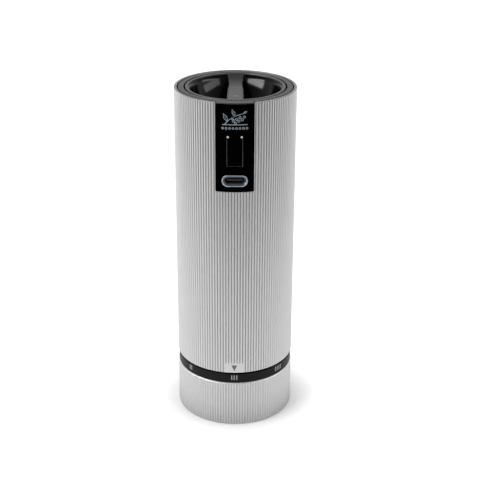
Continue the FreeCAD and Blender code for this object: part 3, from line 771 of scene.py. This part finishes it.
def leaf_outline(x, z, heading, length, steps=8):
    """A leaf: two arcs that meet in a point at each end."""
    along = Vector((math.cos(math.radians(heading)), math.sin(math.radians(heading))))
    points, widths = [], []
    for step in range(steps + 1):
        share = step / steps
        points.append(tuple(Vector((x, z)) + along * length * share))
        widths.append(0.02 + length * 0.42 * math.sin(math.pi * share ** 0.8))
    return ribbon(points, widths)


def inset(outline, width):
    """An outline drawn in towards its centre by a width."""
    count = len(outline)
    centre = sum((Vector(p) for p in outline), Vector((0, 0))) / count
    return [Vector(p) + (centre - Vector(p)).normalized() * width for p in outline]


def foil_rows(build, outline):
    """An outline's vertices at the front and at the back of the print."""
    return [
        [build.verts.new((a * mm, depth * mm, (emblem_low + b) * mm)) for a, b in outline]
        for depth in (-foil_height, 0.02)
    ]


def foil_part(outline, hole=None):
    """A thin flat print from an outline in mm, with the middle left out if a hole is given."""
    build = bmesh.new()
    front, back = foil_rows(build, outline)
    if hole:
        hole_front, hole_back = foil_rows(build, hole)
        skinned(build, [front, hole_front, hole_back, back])
    else:
        build.faces.new(front)
        build.faces.new(back)
    skinned(build, [front, back])
    return shaped("foil", build)


def emblem():
    parts = [foil_part(ribbon(stem_points, stem_widths))]
    for i in range(11):
        x = 0.9 * (i - 5)
        dash = [(x - 0.45, -0.17), (x + 0.45, -0.17), (x + 0.45, 0.17), (x - 0.45, 0.17)]
        parts.append(foil_part(dash))
    for x, z, heading, length in leaves:
        outline = leaf_outline(x, z, heading, length)
        parts.append(foil_part(outline, inset(outline, foil_line)))
        foot, tip = outline[0], outline[len(outline) // 2 - 1]
        parts.append(foil_part(ribbon([tuple(foot), tuple(foot.lerp(tip, 0.8))], [0.14, 0.10])))
    for x, z in berry_places:
        outline = [Vector((x + a, z + b)) for a, b in round_outline(berry_radius, 20)]
        parts.append(foil_part(outline, inset(outline, foil_line)))
    return parts


def grain_row():
    """Geometry nodes that set out a row of round grains under the emblem."""
    tree = bpy.data.node_groups.new("grain_row", "GeometryNodeTree")
    tree.interface.new_socket("Geometry", in_out="INPUT", socket_type="NodeSocketGeometry")
    tree.interface.new_socket("Count", in_out="INPUT", socket_type="NodeSocketInt")
    tree.interface.new_socket("Pitch", in_out="INPUT", socket_type="NodeSocketFloat")
    tree.interface.new_socket("Finish", in_out="INPUT", socket_type="NodeSocketMaterial")
    tree.interface.new_socket("Geometry", in_out="OUTPUT", socket_type="NodeSocketGeometry")
    graph = Graph(tree)
    given = graph.node("NodeGroupInput")
    count, pitch = given.output("Count"), given.output("Pitch")
    start = graph.node("ShaderNodeCombineXYZ", {}, [(count - 1.0) * pitch * -0.5, 0.0, 0.0])
    step = graph.node("ShaderNodeCombineXYZ", {}, [pitch, 0.0, 0.0])
    sockets = {"Count": count, "Start Location": start, "Offset": step}
    row = graph.node("GeometryNodeMeshLine", {}, sockets)
    set_out = graph.node("GeometryNodeInstanceOnPoints", {}, {"Points": row, "Instance": given})
    whole = graph.node("GeometryNodeRealizeInstances", {}, [set_out])
    sockets = {"Geometry": whole, "Material": given.output("Finish")}
    coated = graph.node("GeometryNodeSetMaterial", {}, sockets)
    graph.feed(tree.nodes.new("NodeGroupOutput"), 0, coated)
    return tree


silver_foil = foil()
sprig = joined("emblem_sprig", emblem())
grain_outline = [Vector((a, b - 1.45)) for a, b in round_outline(0.5, 20)]
grains = foil_part(grain_outline, inset(grain_outline, 0.27))
node_modifier(grains, grain_row(), Count=8, Pitch=1.36 * mm, Finish=silver_foil)
settled(grains)
emblem_print = wrapped(painted(joined("emblem_print", [sprig, grains]), silver_foil))
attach(emblem_print, "motor_block")


# The charging socket has a bright oval ring let into the panel, and behind it the drawn
# shell and the thin contact tongue of a standard receptacle.
def swept_slot(name, half_length, half_height, section, z):
    """A section of (outward, depth) points carried round a slot-shaped path, in mm."""
    build = bmesh.new()
    rings = []
    for outward, depth in section:
        outline = slot_outline(half_length + outward, half_height + outward, 20)
        rings.append([build.verts.new((a * mm, depth * mm, (z + b) * mm)) for a, b in outline])
    skinned(build, rings + rings[:1])
    return shaped(name, build)


def plated(name, colour, roughness):
    """Bright plating with a faint cloudiness."""
    paint, graph, shader = finish(name, colour, 0.9, roughness)
    cloud = grain(graph, 0.8 * mm)
    fine = grain(graph, 0.15 * mm)
    tint(graph, shader, cloud, [c * 0.9 for c in colour], [min(c * 1.1, 1) for c in colour])
    graph.feed(shader, "Roughness", fine * 0.1 + (roughness - 0.05))
    return paint


port_metal = plated("port_plating", (0.40, 0.47, 0.55), 0.30)
shell_low, shell_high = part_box("usb_shell")
mouth_half_width = shell_high.x / mm
mouth_half_height = (shell_high.z - shell_low.z) / 2 / mm
ring_width = port_half_height - mouth_half_height
port_ring = swept_slot("port_ring", mouth_half_width, mouth_half_height, eased([
    (0, 1.5),
    (0, 1.0, 0.1),
    (ring_width * 0.46, 0.0, 0.1),
    (ring_width - 0.03, 0.0, 0.15),
    (ring_width - 0.03, 1.5),
], 3), port_height)
wrapped(settled(port_ring))
painted(port_ring, port_metal)
stands_for(port_ring, "motor_block", "port_metal", "usb_trim_ring")

receptacle = swept_slot("port_shell", mouth_half_width - 0.25, mouth_half_height - 0.25, [
    (0, shell_low.y / mm + 0.05),
    (0.05, shell_low.y / mm),
    (0.24, shell_low.y / mm),
    (0.24, shell_high.y / mm),
    (0, shell_high.y / mm),
], port_height)
# The shell's plating is painted dark: painted shade inside the socket's opening.
painted(settled(receptacle), plated("receptacle_plating", (0.16, 0.17, 0.19), 0.35))
stands_for(receptacle, "motor_block", "port_metal", "usb_shell")

low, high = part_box("usb_tongue")
contact_tongue = brick("contact_tongue", [c / mm for c in low], [c / mm for c in high])
painted(
    settled(softened(contact_tongue, 0.1)), moulded("contact_tongue", (0.02, 0.02, 0.022), 0.5),
)
stands_for(contact_tongue, "motor_block", "port_black", "usb_tongue")


# The top ring is a moulding lacquered in a satin metallic grey. It closes the motor
# block, and its front lip laps over the top of the panel.
def lacquer(name, colour, roughness):
    """Metallic grey lacquer: fine flake under a satin clear coat."""
    coat = {"Coat_Weight": 0.1, "Coat_Roughness": 0.25}
    paint, graph, shader = finish(name, colour, 0.55, roughness, **coat)
    flake = grain(graph, 0.06 * mm, 2.0)
    cloud = grain(graph, 3 * mm)
    both = cloud * 0.5 + flake * 0.5
    tint(graph, shader, both, [c * 0.8 for c in colour], [c * 1.2 for c in colour])
    graph.feed(shader, "Roughness", flake * 0.12 + (roughness - 0.06))
    relief(graph, shader, flake, 0.003 * mm)
    return paint


low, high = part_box("top_ring")
ring_outer = high.x / mm - 0.4
trim_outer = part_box("grip_trim")[1].x / mm
ring_inner = trim_outer + 0.6
skirt_bottom = low.z / mm
shell_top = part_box("block_shell")[1].z / mm
top_ring = turned("top_ring_shell", eased([
    (trim_outer - 0.5, skirt_bottom),
    (ring_inner + 0.2, skirt_bottom),
    (ring_inner + 0.2, shell_top),
    (ring_outer, shell_top),
    (ring_outer, tube_top, 0.4),
    (ring_inner, tube_top, 0.3),
    (ring_inner, shell_top),
    (trim_outer - 0.5, shell_top),
]), 360)


def lip(name, inner, outer, bottom, top, half_angle, columns=40):
    """A short arc of ring in front of the top ring, over the panel."""
    section = eased([(inner, bottom), (outer, bottom, 0.1), (outer, top, 0.25), (inner, top)])
    build = bmesh.new()
    slices = []
    for i in range(columns + 1):
        angle = math.radians(half_angle) * (2 * i / columns - 1)
        across, ahead = math.sin(angle) * mm, -math.cos(angle) * mm
        slices.append([build.verts.new((r * across, r * ahead, h * mm)) for r, h in section])
    skinned(build, slices)
    build.faces.new(slices[0])
    build.faces.new(slices[-1])
    return shaped(name, build)


front_lip = lip(
    "front_lip", ring_outer - 0.4, tube_radius - 0.05, panel_top + 0.45, tube_top, 17.6,
)
top_ring = settled(joined("top_ring_shell", [settled(top_ring), settled(front_lip)]))
# The top ring and the handle trim share one satin grey finish; here it is painted darker, as
# painted shade on the top ring.
painted(top_ring, lacquer("satin_grey", (0.066, 0.066, 0.068), 0.34))
stands_for(top_ring, "motor_block", "satin_grey", "top_ring")


# The twist handle is a polished black bowl with a bar across it to pinch, edged by a
# satin grey trim ring whose strip runs along the top of the bar.
low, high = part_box("grip_bowl")
bowl_bottom = low.z / mm
bowl_radius = high.x / mm
well_radius = bowl_radius - 1.4
floor_top = bowl_bottom + 1.2
trim_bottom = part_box("grip_trim")[0].z / mm
trim_inner = trim_outer - 1.25


def bowed(start, pull, end, steps=18):
    """Points of a curve between two (radius, height) points, drawn towards a third."""
    start, pull, end = Vector(start), Vector(pull), Vector(end)
    shares = [step / steps for step in range(steps + 1)]
    return [start * (1 - t) ** 2 + pull * 2 * t * (1 - t) + end * t ** 2 for t in shares]


well = bowed(
    (well_radius + 0.9, tube_top - 1.0), (well_radius - 1.8, floor_top + 0.7), (7.5, floor_top),
)
bowl = turned("handle_bowl", eased([
    (0, bowl_bottom),
    (bowl_radius, bowl_bottom, 0.3),
    (bowl_radius, trim_bottom),
    (trim_inner, trim_bottom + 0.2),
    (trim_inner, tube_top - 0.35, 0.15),
    *well,
    (0, floor_top),
], 6), 256)
bar_half_width = 3.6


def bar(name, section, half_length, flare, sag, steps=36):
    """A bar along Y from a section of (across, up) points. It widens and rises to its ends."""
    build = bmesh.new()
    slices = []
    for i in range(steps + 1):
        share = 2 * i / steps - 1
        ease = share * share
        wide = 1 + flare * ease ** 4 / max(a for a, b in section)
        raised = [sag * ease ** 5 if b > trim_bottom - 1 else 0 for a, b in section]
        slices.append([
            build.verts.new((a * wide * mm, share * half_length * mm, (b + rise) * mm))
            for (a, b), rise in zip(section, raised)
        ])
    skinned(build, slices)
    build.faces.new(slices[0])
    build.faces.new(slices[-1])
    return shaped(name, build)


bar_top = trim_bottom + 0.2
grip_bar = bar("grip_bar", eased([
    (-bar_half_width, floor_top - 0.3),
    (bar_half_width, floor_top - 0.3),
    (bar_half_width, bar_top, 1.0),
    (-bar_half_width, bar_top, 1.0),
], 6), well_radius + 0.9, 0.4, 1.7)
handle_bowl = joined("handle_bowl", [settled(bowl), settled(grip_bar)])
bowl_black = moulded(
    "bowl_black", (0.001, 0.001, 0.0012), 0.12, 1.5, 0.002, Specular_IOR_Level=0.23,
)
painted(settled(handle_bowl), bowl_black)
stands_for(handle_bowl, "handle", "piano_black", "grip_bowl")

trim_ring = turned("handle_trim", eased([
    (bowl_radius + 0.1, trim_bottom),
    (trim_outer, trim_bottom),
    (trim_outer, tube_top, 0.3),
    (trim_inner, tube_top, 0.25),
    (trim_inner, trim_bottom + 0.2),
    (bowl_radius + 0.1, trim_bottom + 0.2),
]), 360)
strip_half_width = 2.75
strip_top = bar_top + 0.45
strip = bar("strip", eased([
    (-strip_half_width, bar_top - 0.05),
    (strip_half_width, bar_top - 0.05),
    (strip_half_width, strip_top, 0.2),
    (-strip_half_width, strip_top, 0.2),
], 3), well_radius + 1.1, 0.5, 2.0)
handle_trim = joined("handle_trim", [settled(trim_ring), settled(strip)])
# The trim's grey is the top ring's finish painted lighter: painted light on the handle's trim
# and strip.
painted(settled(handle_trim), lacquer("trim_grey", (0.105, 0.105, 0.108), 0.34))
stands_for(handle_trim, "handle", "satin_grey", "grip_trim")

lock_bars = [
    (-0.75, 0.75, -7.6, -6.5),
    (-0.5, -0.25, -6.5, -5.7),
    (0.25, 0.5, -6.5, -5.7),
    (-0.5, 0.5, -5.8, -5.55),
]
lock_mark = joined("lock_mark", [
    brick("mark", (left, near, strip_top - 0.02), (right, far, strip_top + 0.08))
    for left, right, near, far in lock_bars
])
painted(lock_mark, ink("lock_ink", (0.34, 0.34, 0.34)))
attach(lock_mark, "handle")


# The inner body is the dark moulded sleeve inside the tube. It holds the reservoir's
# smoky funnel and the bridge with the shaft's bearing, and a wire clip locks the base on.
def smoky(name, colour):
    """Smoky clear moulding: glossy, partly see-through, with faint flow marks."""
    paint, graph, shader = finish(name, colour, 0.0, 0.14, Transmission_Weight=0.35, IOR=1.49)
    flow = grain(graph, 5 * mm, 2.0, (1, 1, 0.3))
    fine = grain(graph, 0.4 * mm)
    tint(graph, shader, flow, [c * 0.9 for c in colour], [c * 1.1 for c in colour])
    graph.feed(shader, "Roughness", fine * 0.08 + 0.10)
    relief(graph, shader, fine, 0.002 * mm)
    return paint


def drawn(name, colour, roughness, stretch=(1, 1, 0.03)):
    """Drawn or turned metal: fine lines run along or round the piece."""
    paint, graph, shader = finish(name, colour, 0.9, roughness)
    lines = grain(graph, 0.15 * mm, 3.0, stretch)
    tint(graph, shader, lines, [c * 0.88 for c in colour], [min(c * 1.08, 1) for c in colour])
    graph.feed(shader, "Roughness", lines * 0.14 + (roughness - 0.07))
    relief(graph, shader, lines, 0.002 * mm)
    return paint


def dress(paint, *names):
    """Give a finish to pieces that keep the shape they were drawn with."""
    for name in names:
        painted(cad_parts[name], paint)


dress(moulded("liner_black", (0.03, 0.03, 0.032), 0.5, 0.3), "inner_body")
dress(smoky("smoky_clear", (0.22, 0.22, 0.23)), "hopper_funnel", "bearing_bridge")
spring_wire = drawn("spring_wire", (0.62, 0.62, 0.63), 0.25, (1, 1, 0.3))
dress(spring_wire, "retaining_clip", "shaft_circlip")

low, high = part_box("stator_spring")
drawn_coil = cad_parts["stator_spring"]
coil = painted(linked("stator_coil", drawn_coil.data.copy()), spring_wire)
coil.data.transform(drawn_coil.matrix_world)
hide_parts("stator_spring")
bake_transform(coil)


# The grinder is a fired ceramic cone that turns inside a toothed ceramic ring. Its
# carrier climbs a thread in the base ring's core to set how fine it grinds.
def fired_ceramic():
    """Matt fired ceramic: warm white, faintly speckled, dry to the touch."""
    paint, graph, shader = finish("fired_ceramic", (0.80, 0.78, 0.73), 0.0, 0.6)
    bisque = grain(graph, 0.5 * mm, 4.0)
    grit = grain(graph, 0.08 * mm)
    tint(graph, shader, bisque, (0.74, 0.72, 0.67), (0.84, 0.83, 0.79))
    graph.feed(shader, "Roughness", grit * 0.2 + 0.5)
    relief(graph, shader, grit, 0.01 * mm)
    return paint


def rubber(name, colour):
    """Soft black rubber with a fine dull skin."""
    paint, graph, shader = finish(name, colour, 0.0, 0.7, Specular_IOR_Level=0.25)
    skin = grain(graph, 0.18 * mm)
    wear = grain(graph, 4 * mm)
    tint(graph, shader, wear, [c * 0.8 for c in colour], [c * 1.25 for c in colour])
    graph.feed(shader, "Roughness", skin * 0.2 + 0.6)
    relief(graph, shader, skin, 0.008 * mm)
    return paint


dress(fired_ceramic(), "grinder_stator", "grinder_rotor")
core_black = moulded("core_black", (0.02, 0.02, 0.02), 0.5, 0.3)
dress(core_black, "base_core", "stator_carrier")
dress(rubber("foot_rubber", (0.02, 0.02, 0.02)), "foot_ring")
shaft_steel = drawn("shaft_steel", (0.56, 0.56, 0.56), 0.3)
dress(shaft_steel, "drive_shaft", "motor_shaft")
zinc = plated("zinc_plate", (0.52, 0.52, 0.53), 0.35)
dress(zinc, "rotor_nut", "deck_screws", "handle_screw")


# The motor block's shell hangs inside the tube and carries the cell, the board and the
# switch behind the panel. Two rubber rings keep dust out of it.
def circuit_board():
    """Green solder mask over copper tracks, which show as a slightly lighter lattice."""
    paint, graph, shader = finish("solder_mask", (0.01, 0.09, 0.04), 0.0, 0.3, Coat_Weight=0.3)
    place = graph.node("ShaderNodeTexCoord", out="Object")
    kind = {"distance": "CHEBYCHEV", "feature": "F2"}
    cells = graph.node("ShaderNodeTexVoronoi", kind, {"Vector": place, "Scale": 900.0})
    tint(graph, shader, cells, (0.008, 0.07, 0.03), (0.02, 0.16, 0.07))
    graph.feed(shader, "Roughness", cells * 0.1 + 0.26)
    relief(graph, shader, cells, 0.02 * mm)
    return paint


dress(moulded("shell_black", (0.022, 0.022, 0.024), 0.42, 0.3), "block_shell", "battery_cradle")
dress(rubber("seal_rubber", (0.03, 0.03, 0.03)), "block_seal", "shaft_seal")
dress(moulded("deck_grey", (0.08, 0.08, 0.08), 0.5, 0.2), "latch_deck")
dress(moulded("switch_black", (0.015, 0.015, 0.015), 0.3, 0.2), "switch_body", "motor_end_cap")
dress(circuit_board(), "control_board")
dress(moulded("cell_sleeve", (0.03, 0.16, 0.22), 0.28, 1.0, 0.004), "battery_cell")
dress(plated("nickel_strip", (0.66, 0.63, 0.56), 0.3), "battery_contacts")


# The motor is a drawn steel can with ferrite magnets round a wound armature. It drives
# two rows of planet gears, each row turning its carrier six times slower.
def windings():
    """Enamelled copper wire laid side by side: a fine ripple across a warm brown."""
    paint, graph, shader = finish("enamelled_wire", (0.45, 0.16, 0.06), 0.6, 0.35)
    place = graph.node("ShaderNodeTexCoord", out="Object")
    sockets = {"Vector": place, "Scale": 900.0, "Distortion": 0.4}
    turns = graph.node("ShaderNodeTexWave", {"bands_direction": "DIAGONAL"}, sockets, out=1)
    tint(graph, shader, turns, (0.30, 0.10, 0.04), (0.56, 0.22, 0.09))
    graph.feed(shader, "Roughness", turns * -0.1 + 0.42)
    relief(graph, shader, turns, 0.03 * mm)
    return paint


dress(plated("motor_plating", (0.50, 0.50, 0.50), 0.32), "motor_can", "gearbox_cover")
dress(moulded("ferrite", (0.03, 0.03, 0.032), 0.7, 0.1), "motor_magnets")
dress(windings(), "armature")
acetal = moulded("acetal", (0.72, 0.71, 0.67), 0.38, 0.3, 0.003)
dress(acetal, "gearbox_housing", "cam_disc", "lock_bolt_left", "lock_bolt_right")
dress(acetal, "first_planet_1", "first_planet_2", "first_planet_3")
sintered = drawn("sintered_steel", (0.42, 0.42, 0.41), 0.45, (1, 1, 1))
dress(sintered, "first_carrier", "output_carrier")
dress(sintered, "second_planet_1", "second_planet_2", "second_planet_3")
